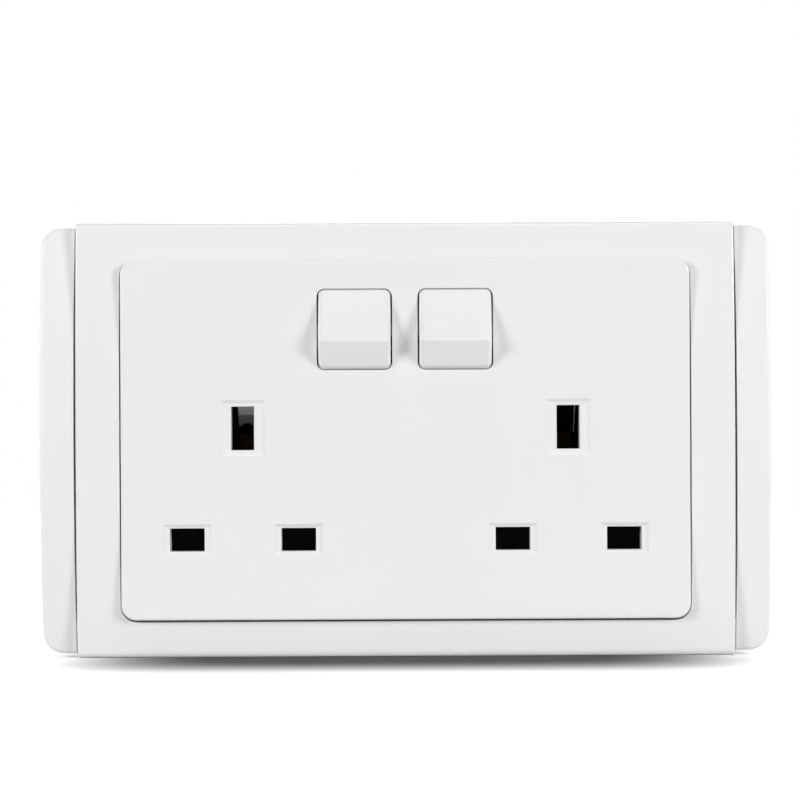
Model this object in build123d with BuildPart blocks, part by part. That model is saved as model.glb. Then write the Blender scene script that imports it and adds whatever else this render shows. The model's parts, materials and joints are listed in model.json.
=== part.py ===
from build123d import *
import os
from math import cos, radians, sin, sqrt

# Twin switched wall socket, in millimetres.
# X runs to the right, Y into the wall and Z up. The origin is the middle of the wall plane.
# A height is a distance in front of the wall, and a depth is a distance behind it.

os.makedirs("parts", exist_ok=True)

# Overall sizes
overall_width = 146.0
overall_height = 87.0
face_height = 9.5

# Surround, a bowed cover round the socket plate
surround_crest = 9.4
surround_edge = 6.9
surround_skin = 1.8
surround_wall = 1.6
surround_round = 1.6
surround_side_round = 0.35
surround_skirt = 1.2

# End trims beside the surround
trim_width = 6.85
trim_gap = 0.4
trim_step = 0.85
trim_crest = 9.3
trim_edge = 4.6
trim_skin = 1.6
trim_corner = 4.2
trim_round = 0.9
trim_hollow_corner = 2.6
ledge_front = 2.6
ledge_back = 0.9
ledge_reach = 5.2
ledge_end_gap = 4.55
peg_spread = 20.0
peg_width = 4.0
peg_thickness = 1.4
peg_distance = 3.2
barb_reach = 0.7
clip_clearance = 0.2

# Socket plate
panel_side_border = 9.0
panel_end_border = 7.6
panel_corner = 3.0
panel_round = 0.45
panel_skin = 2.6
panel_wall = 2.0
cavity_corner = 1.0
panel_gap = 0.25
window_drop = 0.2
flange_front = 3.4
flange_back = 1.0
flange_gap = 0.7
fixing_offset = 3.55
fixing_hole = 4.2
fixing_pad = 8.0
screw_head_room = 9.2
hook_spread = 80.0
hook_width = 6.0
hook_thickness = 1.3
hook_barb = 0.85
hook_offset = 1.2

# Outlets
outlet_margin = 24.3
pin_margin = 16.0
pin_spacing = 22.2
earth_rise = 22.2
line_slot = (6.9, 4.6)
line_recess = (9.7, 6.2)
earth_slot = (4.6, 8.7)
earth_recess = (9.0, 11.2)
recess_depth = 0.4
recess_draft = 0.6
collar_wall = 1.2

# Rockers
rocker_spacing = 20.1
rocker_margin = 14.0
rocker_pivot = 5.5
aperture_width = 15.0
aperture_height = 16.2
aperture_corner = 1.5
rocker_clearance = 0.3
rocker_end_clearance = 0.25
rocker_wall = 1.5
rocker_round = 1.2
ridge_round = 0.4
ridge_proud = 4.0
ridge_drop = 2.4
ridge_land = 3.0
top_proud = 0.3
bottom_proud = 0.9
rear_top = 2.6
rear_bottom = 0.6
rocker_travel = 14.0
trunnion_radius = 1.2
trunnion_length = 2.2
bearing_clearance = 0.05
ear_thickness = 2.0
ear_half_height = 3.5
ear_depth = 2.3

# Plungers
plunger_radius = 1.45
plunger_clearance = 0.05
plunger_length = 5.2
plunger_reach = 10.2
tube_wall = 1.1
tube_reach = 8.5
spring_wire = 0.4
spring_clearance = 0.1
plunger_spring_length = 3.8
plunger_spring_turns = 4

# Switch levers and their silver tips
lever_gap = 0.1
lever_thickness = 1.2
lever_width = 5.0
lever_up = 8.0
lever_down = 7.0
lever_tilt = 6.0
ridge_radius = 1.0
lever_seat = 0.4
tip_radius = 1.5
tip_height = 0.8
tip_rise = 6.5
tip_gap = 0.1

# Shutters
shutter_thickness = 2.0
shutter_clearance = 0.2
shutter_lap = 0.4
shutter_spare = 0.6
blade_width = 8.4
arm_width = 2.6
arm_gap = 0.3
nose_margin = 0.1
shutter_spring_radius = 1.5
shutter_spring_length = 9.5
shutter_spring_turns = 7
spring_tab = 1.5
guide_width = 1.2
guide_height = 1.9

# Contact deck and rear housing
deck_front = 2.0
deck_thickness = 1.6
housing_side_gap = 1.75
housing_foot_gap = 2.9
housing_head_gap = 0.9
housing_wall = 1.8
housing_depth = 18.0
housing_corner = 2.0
pedestal_width = 3.0
deck_window_margin = 0.1
tube_window = (8.0, 11.0)
column_radius = 2.4
post_radius = 2.8
post_inset = 4.6
post_low = 4.5
post_high = 5.1
screw_radius = 1.4
screw_clearance = 0.1
screw_head_radius = 2.4
screw_head_height = 1.6
screw_head_round = 0.9
screw_bite = 3.2
screw_tip_room = 0.5

# Brass contacts
strip_thickness = 0.8
strip_width = 4.0
live_depth = 9.0
neutral_depth = 11.2
earth_depth = 13.4
leaf_thickness = 0.7
leaf_mouth = 2.6
leaf_throat = 1.4
leaf_base = 2.2
line_mouth_depth = 0.2
line_throat_depth = 5.2
line_leaf_width = 6.0
earth_mouth_depth = 2.3
earth_throat_depth = 7.2
earth_leaf_width = 8.0
feed_bar_height = 5.0
pad_height = 4.0
neutral_bar_height = 3.2

# Terminals
terminal_pitch = 8.2
terminal_width = 7.2
terminal_height = 8.0
terminal_front = 5.4
wire_bore = 4.4
wire_bore_length = 6.5
wire_axis = 8.6
wire_hole = 5.6
terminal_clearance = 0.2
terminal_screw_radius = 1.6
terminal_head_radius = 2.4
terminal_head_height = 1.4
terminal_head_round = 0.4
terminal_access = 6.0
slot_width = 0.8
slot_depth = 0.7
barrier = 0.6

# Worked out from the sizes above
half_height = overall_height / 2
surround_width = overall_width - 2 * (trim_width + trim_gap)
half_surround = surround_width / 2
panel_width = surround_width - 2 * panel_side_border
panel_height = overall_height - 2 * panel_end_border
half_panel_width = panel_width / 2
half_panel_height = panel_height / 2
fixing_spacing = panel_width + 2 * fixing_offset
outlet_spacing = panel_width - 2 * outlet_margin
pin_row = pin_margin - half_panel_height
rocker_row = half_panel_height - rocker_margin
skin_back = face_height - panel_skin
flange_half_width = half_surround - surround_wall - flange_gap
flange_half_height = half_height - surround_wall - flange_gap
window_width = panel_width + 2 * panel_gap
window_height = panel_height + 2 * panel_gap
window_corner = panel_corner + panel_gap
outlets = {"left": -outlet_spacing / 2, "right": outlet_spacing / 2}
switches = {"left": -rocker_spacing / 2, "right": rocker_spacing / 2}
line_offsets = (-pin_spacing / 2, pin_spacing / 2)
earth_row = pin_row + earth_rise
shutter_travel = line_slot[1] + shutter_lap + shutter_spare
shutter_back = deck_front + shutter_clearance / 2
shutter_front = shutter_back + shutter_thickness
collar_back = shutter_front + shutter_clearance
deck_back = deck_front - deck_thickness
floor_front = housing_depth - housing_wall
housing_width = panel_width - 2 * (panel_wall + housing_side_gap)
housing_low = panel_wall + housing_foot_gap - half_panel_height
housing_high = half_panel_height - panel_wall - housing_head_gap
half_housing = housing_width / 2
post_x = half_housing - post_inset
aperture_lift = face_height - rocker_pivot
aperture_radius = sqrt((aperture_height / 2) ** 2 + aperture_lift**2)
rocker_radius = aperture_radius - rocker_end_clearance
half_rocker = aperture_width / 2 - rocker_clearance
post_rows = (housing_low + post_low, housing_high - post_high)
posts = [(x, z) for x in (-post_x, post_x) for z in post_rows]
tube_radius = plunger_radius + plunger_clearance + tube_wall
lever_front = plunger_reach + lever_gap - rocker_pivot
lever_pivot = lever_front + lever_thickness + lever_seat
fixed_tip_row = rocker_row + tip_rise
lever_swing = radians(lever_tilt)
tip_back = tip_height - lever_seat
tip_depth = lever_pivot + tip_back * cos(lever_swing) + (tip_rise + tip_radius) * sin(lever_swing)
fixed_tip_front = tip_depth + tip_gap
terminal_top = housing_low + housing_wall + terminal_clearance + terminal_height
terminals = {
    "neutral_terminal": -1.5 * terminal_pitch,
    "left_earth_terminal": -0.5 * terminal_pitch,
    "right_earth_terminal": 0.5 * terminal_pitch,
    "live_terminal": 1.5 * terminal_pitch,
}


def facing(height):
    """A sketch plane parallel to the wall, with X and Z as its axes, that looks to the front."""
    return Plane.XZ.offset(height)


def side_on(x, height, z, turn=0.0):
    """A sketch plane seen from the side: first axis into the wall, second axis up, turned about X."""
    angle = radians(turn)
    return Plane(origin=(x, -height, z), x_dir=(0, cos(angle), sin(angle)), z_dir=(1, 0, 0))


def along(x, height, z, turn=0.0):
    """A plane square to an axis that points into the wall, turned about X."""
    angle = radians(turn)
    return Plane(origin=(x, -height, z), x_dir=(1, 0, 0), z_dir=(0, cos(angle), sin(angle)))


def bow(z, crest, edge, half):
    """Height at z of an arc that rises to crest in the middle and falls to edge at both ends."""
    fall = crest - edge
    radius = (half**2 + fall**2) / (2 * fall)
    return crest - radius + sqrt(radius**2 - z**2)


def block(xs, heights, zs, mode=Mode.ADD):
    """A box between pairs of x, height in front of the wall, and z."""
    with BuildSketch(facing(min(heights))) as outline:
        with Locations((sum(xs) / 2, sum(zs) / 2)):
            Rectangle(abs(xs[1] - xs[0]), abs(zs[1] - zs[0]))
    extrude(outline.sketch, amount=abs(heights[1] - heights[0]), mode=mode)


def rod(x, z, radius, heights, mode=Mode.ADD):
    """A round bar or hole square to the wall, between two heights."""
    with BuildSketch(facing(min(heights))) as outline:
        with Locations((x, z)):
            Circle(radius)
    extrude(outline.sketch, amount=abs(heights[1] - heights[0]), mode=mode)


def panel(width, height, corner, heights, mode=Mode.ADD, drop=0.0):
    """A slab with rounded corners between two heights, centred on the wall plate or a little below it."""
    with BuildSketch(facing(min(heights))) as outline:
        with Locations((0, -drop)):
            RectangleRounded(width, height, corner)
    extrude(outline.sketch, amount=abs(heights[1] - heights[0]), mode=mode)


def bowed(xs, crest, edge, half, mode=Mode.ADD):
    """A slab from the wall to a front that is bowed about X, between two places along X."""
    with BuildSketch(Plane.YZ.offset(min(xs))) as section:
        with BuildLine():
            Polyline((-edge, -half), (0, -half), (0, half), (-edge, half))
            ThreePointArc((-edge, half), (-crest, 0), (-edge, -half))
        make_face()
    extrude(section.sketch, amount=abs(xs[1] - xs[0]), mode=mode)


def drum(x, radius, half_width, rim=0.0):
    """A cylinder on a rocker's pivot line, with its rims rounded, used to shape rockers and apertures."""
    with BuildPart() as shape:
        with BuildSketch(side_on(x - half_width, rocker_pivot, rocker_row)):
            Circle(radius)
        extrude(amount=2 * half_width)
        if rim > 0:
            fillet(shape.edges().filter_by(GeomType.CIRCLE), rim)
    return shape.part


def finish(part, name):
    """Names a finished piece and writes it."""
    part.label = name
    export_step(part, f"parts/{name}.step")


# Surround: a bowed shell with a window for the socket plate, hooks for the flange and ledges for the trims.
# It hangs on the plate's top edge, so the gap round the plate is narrowest there and widest below.
with BuildPart() as surround_hollow:
    bowed(
        (-half_surround + surround_wall, half_surround - surround_wall),
        surround_crest - surround_skin,
        surround_edge - surround_skin,
        half_height - surround_wall,
    )
    panel(
        window_width + 2 * surround_skirt,
        window_height + 2 * surround_skirt,
        window_corner + surround_skirt,
        (flange_front, surround_crest),
        Mode.SUBTRACT,
        window_drop,
    )
    for side in (-1, 1):
        block(
            (side * half_panel_width, side * (half_surround - surround_wall)),
            (flange_front, surround_crest - surround_skin - panel_gap),
            (-screw_head_room / 2, screw_head_room / 2),
        )

hook_row = half_panel_height + panel_gap + surround_skirt + hook_offset
hook_top = bow(hook_row, surround_crest, surround_edge, half_height) - surround_skin / 2
peg_x = half_surround + peg_distance
trim_half = half_height - trim_step
ledge_half_length = trim_half - trim_skin - ledge_end_gap

with BuildPart() as surround:
    bowed((-half_surround, half_surround), surround_crest, surround_edge, half_height)
    fillet(surround.edges().filter_by(Axis.X).group_by(Axis.Y)[0], surround_round)
    end_faces = surround.faces().filter_by(Axis.X)
    fillet(end_faces.edges().filter_by(GeomType.CIRCLE), surround_side_round)
    add(surround_hollow.part, mode=Mode.SUBTRACT)
    panel(window_width, window_height, window_corner, (0, surround_crest), Mode.SUBTRACT, window_drop)
    for x in (-hook_spread / 2, hook_spread / 2):
        for side in (-1, 1):
            block(
                (x - hook_width / 2, x + hook_width / 2),
                (clip_clearance, hook_top),
                (side * (hook_row - hook_thickness / 2), side * (hook_row + hook_thickness / 2)),
            )
            block(
                (x - hook_width / 2, x + hook_width / 2),
                (clip_clearance, flange_back - bearing_clearance),
                (side * hook_row, side * (hook_row + hook_thickness / 2 + hook_barb)),
            )
    for side in (-1, 1):
        block(
            (side * (half_surround - surround_wall / 2), side * (half_surround + ledge_reach)),
            (ledge_back, ledge_front),
            (-ledge_half_length, ledge_half_length),
        )
        for z in (-peg_spread, peg_spread):
            block(
                (
                    side * (peg_x - peg_thickness / 2 - clip_clearance),
                    side * (peg_x + peg_thickness / 2 + clip_clearance),
                ),
                (ledge_back, ledge_front),
                (z - peg_width / 2 - clip_clearance, z + peg_width / 2 + clip_clearance),
                Mode.SUBTRACT,
            )
finish(surround.part, "surround")

# End trims: bowed shells, open at the back and towards the surround, with barbed pegs
trim_inner = half_surround + trim_gap
trim_outer = overall_width / 2


def trim_shape(inner, outer, half, corner, crest, edge):
    """The trim's solid form: a bowed bar whose two outer corners are rounded in the front view."""
    with BuildPart() as shape:
        block((inner, outer), (0, crest), (-half, half))
        fillet(shape.edges().filter_by(Axis.Y).group_by(Axis.X)[-1], corner)
        bowed((inner, outer), crest, edge, half, Mode.INTERSECT)
    return shape.part


trim_solid = trim_shape(trim_inner, trim_outer, trim_half, trim_corner, trim_crest, trim_edge)
trim_hollow = trim_shape(
    trim_inner,
    trim_outer - trim_skin,
    trim_half - trim_skin,
    trim_hollow_corner,
    trim_crest - trim_skin,
    trim_edge - trim_skin,
)

with BuildPart() as right_trim:
    add(trim_solid)
    front = right_trim.faces().filter_by(GeomType.CYLINDER).sort_by(SortBy.AREA)[-1]
    fillet(front.edges().sort_by(Axis.X)[1:], trim_round)
    add(trim_hollow, mode=Mode.SUBTRACT)
    for z in (-peg_spread, peg_spread):
        peg_zs = (z - peg_width / 2, z + peg_width / 2)
        peg_top = bow(peg_spread, trim_crest, trim_edge, trim_half) - trim_skin / 2
        block((peg_x - peg_thickness / 2, peg_x + peg_thickness / 2), (clip_clearance, peg_top), peg_zs)
        block(
            (peg_x, peg_x + peg_thickness / 2 + barb_reach),
            (clip_clearance, ledge_back - bearing_clearance),
            peg_zs,
        )
finish(right_trim.part, "right_trim")

with BuildPart() as left_trim:
    mirror(right_trim.part, about=Plane.YZ)
finish(left_trim.part, "left_trim")

# Socket plate: face, skirt and flange in one moulding, with slots, collars, bearing ears and screw posts
apertures = [drum(x, aperture_radius, aperture_width / 2, aperture_corner) for x in switches.values()]
line_places = [(x + offset, pin_row) for x in outlets.values() for offset in line_offsets]
earth_places = [(x, earth_row) for x in outlets.values()]
slots = [(place, line_slot, line_recess) for place in line_places]
slots += [(place, earth_slot, earth_recess) for place in earth_places]

with BuildPart() as socket_plate:
    panel(panel_width, panel_height, panel_corner, (0, face_height))
    fillet(socket_plate.faces().sort_by(Axis.Y)[0].edges(), panel_round)
    block(
        (-flange_half_width, flange_half_width),
        (flange_back, flange_front),
        (-flange_half_height, flange_half_height),
    )
    panel(
        panel_width - 2 * panel_wall,
        panel_height - 2 * panel_wall,
        cavity_corner,
        (0, skin_back),
        Mode.SUBTRACT,
    )
    for side in (-1, 1):
        block(
            (side * (half_panel_width - panel_wall / 2), side * flange_half_width),
            (0, flange_back),
            (-fixing_pad / 2, fixing_pad / 2),
        )
        rod(side * fixing_spacing / 2, 0, fixing_hole / 2, (0, flange_front), Mode.SUBTRACT)
    for x in (-hook_spread / 2, hook_spread / 2):
        for side in (-1, 1):
            block(
                (x - hook_width / 2 - clip_clearance, x + hook_width / 2 + clip_clearance),
                (flange_back, flange_front),
                (
                    side * (hook_row - hook_thickness / 2 - clip_clearance),
                    side * (hook_row + hook_thickness / 2 + clip_clearance),
                ),
                Mode.SUBTRACT,
            )
    for (x, z), (width, height), recess in slots:
        block(
            (x - width / 2 - collar_wall, x + width / 2 + collar_wall),
            (collar_back, skin_back),
            (z - height / 2 - collar_wall, z + height / 2 + collar_wall),
        )
        block(
            (x - width / 2, x + width / 2),
            (collar_back, face_height),
            (z - height / 2, z + height / 2),
            Mode.SUBTRACT,
        )
        with BuildSketch(facing(face_height)):
            with Locations((x, z)):
                Rectangle(*recess)
        with BuildSketch(facing(face_height - recess_depth)):
            with Locations((x, z)):
                Rectangle(recess[0] - 2 * recess_draft, recess[1] - 2 * recess_draft)
        loft(mode=Mode.SUBTRACT)
    for x in switches.values():
        for side in (-1, 1):
            ear = (x + side * aperture_width / 2, x + side * (aperture_width / 2 + ear_thickness))
            block(
                ear,
                (rocker_pivot - ear_depth, skin_back),
                (rocker_row - ear_half_height, rocker_row + ear_half_height),
            )
            bearing = trunnion_radius + bearing_clearance
            with BuildSketch(side_on(min(ear), rocker_pivot, rocker_row)) as notch:
                Circle(bearing)
                with Locations((ear_depth / 2, 0)):
                    Rectangle(ear_depth, 2 * bearing)
            extrude(notch.sketch, amount=ear_thickness, mode=Mode.SUBTRACT)
    for aperture in apertures:
        add(aperture, mode=Mode.SUBTRACT)
    for x, z in posts:
        rod(x, z, post_radius, (deck_front, skin_back))
        rod(
            x,
            z,
            screw_radius + bearing_clearance,
            (deck_front, deck_front + screw_bite + screw_tip_room),
            Mode.SUBTRACT,
        )
finish(socket_plate.part, "socket_plate")

# Rockers: wedge-fronted shells that tip on two trunnions, each with a tube for its sprung plunger
plunger_start = plunger_reach - plunger_length
spring_start = plunger_start - plunger_spring_length
rest_turn = -rocker_travel / 2
ridge_point = (-(aperture_lift + ridge_proud), -ridge_drop)
top_front = aperture_lift + top_proud
bottom_front = aperture_lift + bottom_proud
top_point = (-top_front, sqrt(rocker_radius**2 - top_front**2))
bottom_point = (-bottom_front, -sqrt(rocker_radius**2 - bottom_front**2))


def on_face(corner, z):
    """The place at height z on the straight front face that runs from the ridge to a corner."""
    share = (z - ridge_point[1]) / (corner[1] - ridge_point[1])
    return (ridge_point[0] + share * (corner[0] - ridge_point[0]), z)


def rocker_shape(x, inset):
    """A rocker's form at rest, inset for its hollow: two sloping front faces on a drum about the pivot."""
    with BuildPart() as shape:
        with BuildSketch(side_on(x - half_rocker + inset, rocker_pivot, rocker_row)):
            with BuildLine():
                Polyline(
                    on_face(top_point, aperture_radius),
                    ridge_point,
                    on_face(bottom_point, -aperture_radius),
                    (aperture_radius, -aperture_radius),
                    (aperture_radius, aperture_radius),
                    close=True,
                )
            make_face()
            if inset > 0:
                offset(amount=-inset)
        extrude(amount=2 * (half_rocker - inset))
        with BuildSketch(side_on(x - half_rocker, rocker_pivot, rocker_row)):
            Circle(rocker_radius - inset)
            with Locations((ridge_point[0] / 2, ridge_point[1])):
                Rectangle(-ridge_point[0], 2 * ridge_land)
        extrude(amount=2 * half_rocker, mode=Mode.INTERSECT)
        if inset == 0:
            fillet(shape.edges().filter_by(Axis.X).sort_by(Axis.Y)[0], ridge_round)
            for end_face in shape.faces().filter_by(Axis.X):
                fillet(end_face.edges(), rocker_round)
            with BuildSketch(side_on(x - half_rocker, rocker_pivot, rocker_row)):
                with BuildLine():
                    Polyline(
                        (rear_bottom, -aperture_radius),
                        (aperture_radius, -aperture_radius),
                        (aperture_radius, aperture_radius),
                        (rear_top, aperture_radius),
                        close=True,
                    )
                make_face()
            extrude(amount=2 * half_rocker, mode=Mode.SUBTRACT)
    return shape.part


def coil(base, length, radius, turns):
    """A round-wire helical spring that stands on a plane and fills a length along its normal."""
    wire_length = length - spring_wire
    start = base.offset(spring_wire / 2)
    with BuildPart() as spring:
        with BuildLine() as path:
            Helix(wire_length / turns, wire_length, radius, center=start.origin, direction=base.z_dir)
        with BuildSketch(Plane(origin=path.line @ 0, z_dir=path.line % 0)):
            Circle(spring_wire / 2)
        sweep(is_frenet=True)
    return spring.part


tube_root = rocker_wall + on_face(top_point, 0)[0]
for name, x in switches.items():
    solid = rocker_shape(x, 0)
    hollow = rocker_shape(x, rocker_wall)
    axis_plane = along(x, rocker_pivot, rocker_row, rest_turn)
    with BuildPart() as rocker:
        add(solid)
        add(hollow, mode=Mode.SUBTRACT)
        with BuildSketch(axis_plane.offset(tube_root)):
            Circle(tube_radius)
        extrude(amount=tube_reach - tube_root)
        with BuildSketch(axis_plane.offset(spring_start)):
            Circle(plunger_radius + plunger_clearance)
        extrude(amount=tube_reach - spring_start, mode=Mode.SUBTRACT)
        for side in (-1, 1):
            inner_end = x + side * (half_rocker - rocker_wall / 2)
            with BuildSketch(side_on(inner_end, rocker_pivot, rocker_row)):
                Circle(trunnion_radius)
            extrude(amount=side * (trunnion_length + rocker_wall / 2))
    finish(rocker.part, f"{name}_rocker")

    with BuildPart() as plunger:
        with BuildSketch(axis_plane.offset(plunger_start)):
            Circle(plunger_radius)
        extrude(amount=plunger_length)
        fillet(plunger.faces().sort_by(Axis.Y)[-1].edges(), plunger_radius - plunger_clearance)
    finish(plunger.part, f"{name}_plunger")

    plunger_spring = coil(
        axis_plane.offset(spring_start),
        plunger_spring_length,
        plunger_radius - spring_wire / 2 - spring_clearance,
        plunger_spring_turns,
    )
    finish(plunger_spring, f"{name}_plunger_spring")

# Switch levers: brass see-saws that rock on the feed strip, with a silver tip at the top end
for name, x in switches.items():
    lever_plane = side_on(x - lever_width / 2, -lever_pivot, rocker_row, lever_tilt)
    with BuildPart() as lever:
        with BuildSketch(lever_plane):
            with Locations((-lever_seat - lever_thickness / 2, (lever_up - lever_down) / 2)):
                Rectangle(lever_thickness, lever_up + lever_down)
            Circle(ridge_radius + bearing_clearance, mode=Mode.SUBTRACT)
        extrude(amount=lever_width)
    finish(lever.part, f"{name}_lever")

    tip_centre = side_on(x, -lever_pivot, rocker_row, lever_tilt).from_local_coords((0, tip_rise, 0))
    with BuildPart() as lever_tip:
        with BuildSketch(along(x, -tip_centre.Y, tip_centre.Z, lever_tilt).offset(-lever_seat)):
            Circle(tip_radius)
        extrude(amount=tip_height)
    finish(lever_tip.part, f"{name}_lever_tip")

    with BuildPart() as fixed_tip:
        rod(x, fixed_tip_row, tip_radius, (-live_depth, -fixed_tip_front))
    finish(fixed_tip.part, f"{name}_fixed_tip")

# Shutters: sliders that cover the line and neutral slots until an earth pin pushes the ramp up
earth_top = earth_row + earth_slot[1] / 2
earth_bottom = earth_row - earth_slot[1] / 2
blade_low = pin_row - line_slot[1] / 2 - shutter_lap
blade_high = pin_row + line_slot[1] / 2 + shutter_lap
bar_high = earth_bottom - shutter_travel - arm_gap / 2
ramp_low = earth_top - shutter_travel + arm_gap / 2
ramp_high = earth_top + arm_gap
ramp_back = shutter_front - (ramp_high - ramp_low)
head_high = ramp_high + arm_width
arm_inner = earth_slot[0] / 2 + arm_gap
arm_outer = arm_inner + arm_width
nose_half = earth_slot[0] / 2 - nose_margin
spring_axis = deck_front + shutter_clearance + shutter_spring_radius + spring_wire / 2
spring_seat = spring_axis + shutter_spring_radius
tab_half = shutter_spring_radius + spring_wire / 2
shutter_heights = (shutter_back, shutter_front)

for name, x in outlets.items():
    with BuildPart() as shutter:
        blade_reach = pin_spacing / 2 + blade_width / 2
        block((x - blade_reach, x + blade_reach), shutter_heights, (blade_high, bar_high))
        for side in (-1, 1):
            block(
                (x + side * (blade_reach - blade_width), x + side * blade_reach),
                shutter_heights,
                (blade_low, blade_high),
            )
            block((x + side * arm_inner, x + side * arm_outer), shutter_heights, (bar_high, head_high))
        block((x - arm_inner, x + arm_inner), shutter_heights, (ramp_high, head_high))
        with BuildSketch(Plane.YZ.offset(x - nose_half)):
            with BuildLine():
                Polyline(
                    (-shutter_front, ramp_high),
                    (-ramp_back, ramp_low),
                    (-ramp_back, ramp_high),
                    close=True,
                )
            make_face()
        extrude(amount=2 * nose_half)
        block(
            (x - tab_half, x + tab_half),
            (shutter_back, spring_seat),
            (head_high - spring_tab, head_high),
        )
    finish(shutter.part, f"{name}_shutter")

    spring_base = Plane(origin=(x, -spring_axis, head_high), z_dir=(0, 0, 1))
    shutter_spring = coil(
        spring_base,
        shutter_spring_length,
        shutter_spring_radius,
        shutter_spring_turns,
    )
    finish(shutter_spring, f"{name}_shutter_spring")

# Contact deck: closes the housing, guides the shutters and keeps the trunnions in their ears
spring_top = head_high + shutter_spring_length
housing_middle = (housing_low + housing_high) / 2
housing_height = housing_high - housing_low
with BuildPart() as contact_deck:
    with BuildSketch(facing(deck_back)):
        with Locations((0, housing_middle)):
            RectangleRounded(housing_width, housing_height, housing_corner)
    extrude(amount=deck_thickness)
    for x, z in line_places:
        block(
            (x - line_slot[0] / 2 - deck_window_margin, x + line_slot[0] / 2 + deck_window_margin),
            (deck_back, deck_front),
            (z - line_slot[1] / 2 - deck_window_margin, z + line_slot[1] / 2 + deck_window_margin),
            Mode.SUBTRACT,
        )
    for x in outlets.values():
        block(
            (x - earth_slot[0] / 2 - deck_window_margin, x + earth_slot[0] / 2 + deck_window_margin),
            (deck_back, deck_front),
            (earth_bottom - deck_window_margin, ramp_high + shutter_travel + shutter_clearance),
            Mode.SUBTRACT,
        )
        for side in (-1, 1):
            block(
                (
                    x + side * (arm_outer + shutter_clearance),
                    x + side * (arm_outer + shutter_clearance + guide_width),
                ),
                (deck_front, deck_front + guide_height),
                (bar_high + shutter_travel + shutter_clearance, head_high + shutter_travel),
            )
        block(
            (x - arm_inner, x + arm_inner),
            (deck_front, deck_front + guide_height),
            (blade_high - bearing_clearance - guide_width, blade_high - bearing_clearance),
        )
        block((x - tab_half, x + tab_half), (deck_front, spring_seat), (spring_top, spring_top + spring_tab))
    for x in switches.values():
        block(
            (x - tube_window[0] / 2, x + tube_window[0] / 2),
            (deck_back, deck_front),
            (rocker_row - tube_window[1] / 2, rocker_row + tube_window[1] / 2),
            Mode.SUBTRACT,
        )
        for side in (-1, 1):
            keeper = aperture_width / 2 + clip_clearance
            block(
                (x + side * keeper, x + side * (keeper + ear_thickness - 2 * clip_clearance)),
                (deck_front, rocker_pivot - trunnion_radius - bearing_clearance),
                (
                    rocker_row - trunnion_radius + plunger_clearance,
                    rocker_row + trunnion_radius - plunger_clearance,
                ),
            )
    for x, z in posts:
        rod(x, z, screw_radius + screw_clearance, (deck_back, deck_front), Mode.SUBTRACT)
finish(contact_deck.part, "contact_deck")

# Rear housing: a tray with screw columns, pedestals for the strips and pockets for the terminals
live_back = -live_depth - strip_thickness
neutral_back = -neutral_depth - strip_thickness
earth_back = -earth_depth - strip_thickness
left_live_x = outlets["left"] + pin_spacing / 2
right_live_x = outlets["right"] + pin_spacing / 2
left_neutral_x = outlets["left"] - pin_spacing / 2
right_neutral_x = outlets["right"] - pin_spacing / 2
leg_middle = (pin_row + earth_row) / 2
pedestals = [(x, rocker_row, live_back) for x in switches.values()]
pedestals += [(x, fixed_tip_row, live_back) for x in switches.values()]
pedestals += [(x, leg_middle, live_back) for x in (left_live_x, right_live_x, terminals["live_terminal"])]
pedestals += [(right_live_x, fixed_tip_row - pad_height, live_back)]
pedestals += [(x, pin_row, neutral_back) for x in (left_neutral_x, right_neutral_x)]
pedestals += [(x, earth_row, earth_back) for x in outlets.values()]
terminal_low = terminal_top - terminal_height
screw_row = terminal_low + wire_bore_length / 2

with BuildPart() as rear_housing:
    with BuildSketch(facing(-housing_depth)):
        with Locations((0, housing_middle)):
            RectangleRounded(housing_width, housing_height, housing_corner)
    extrude(amount=housing_depth + deck_back)
    block(
        (-half_housing + housing_wall, half_housing - housing_wall),
        (-floor_front, deck_back),
        (housing_low + housing_wall, housing_high - housing_wall),
        Mode.SUBTRACT,
    )
    for x, z in posts:
        rod(x, z, column_radius, (-floor_front, deck_back))
        rod(x, z, screw_radius + screw_clearance, (-housing_depth, deck_back), Mode.SUBTRACT)
    for x, z, top in pedestals:
        block(
            (x - pedestal_width / 2, x + pedestal_width / 2),
            (-floor_front, top),
            (z - pedestal_width / 2, z + pedestal_width / 2),
        )
    for share in (-1, 0, 1):
        block(
            (share * terminal_pitch - barrier / 2, share * terminal_pitch + barrier / 2),
            (-floor_front, -terminal_front),
            (housing_low + housing_wall, terminal_top),
        )
    for x in terminals.values():
        rod(x, screw_row, terminal_access / 2, (-housing_depth, -floor_front), Mode.SUBTRACT)
        with BuildSketch(Plane.XY.offset(housing_low)):
            with Locations((x, wire_axis)):
                Circle(wire_hole / 2)
        extrude(amount=housing_wall, mode=Mode.SUBTRACT)
finish(rear_housing.part, "rear_housing")


def line_fork(x, depth):
    """Two sprung leaves above and below a flat pin, on a base at a depth behind the wall."""
    fork_plane = side_on(x - line_leaf_width / 2, 0, pin_row)
    for side in (-1, 1):
        with BuildSketch(fork_plane) as leaf:
            with BuildLine():
                Polyline(
                    (line_mouth_depth, side * leaf_mouth),
                    (line_throat_depth, side * leaf_throat),
                    (depth, side * leaf_base),
                    (depth, side * (leaf_base + leaf_thickness)),
                    (line_throat_depth, side * (leaf_throat + leaf_thickness)),
                    (line_mouth_depth, side * (leaf_mouth + leaf_thickness)),
                    close=True,
                )
            make_face()
        extrude(leaf.sketch, amount=line_leaf_width)
    base_half = leaf_base + leaf_thickness
    strip(x - line_leaf_width / 2, x + line_leaf_width / 2, pin_row - base_half, pin_row + base_half, depth)


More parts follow.
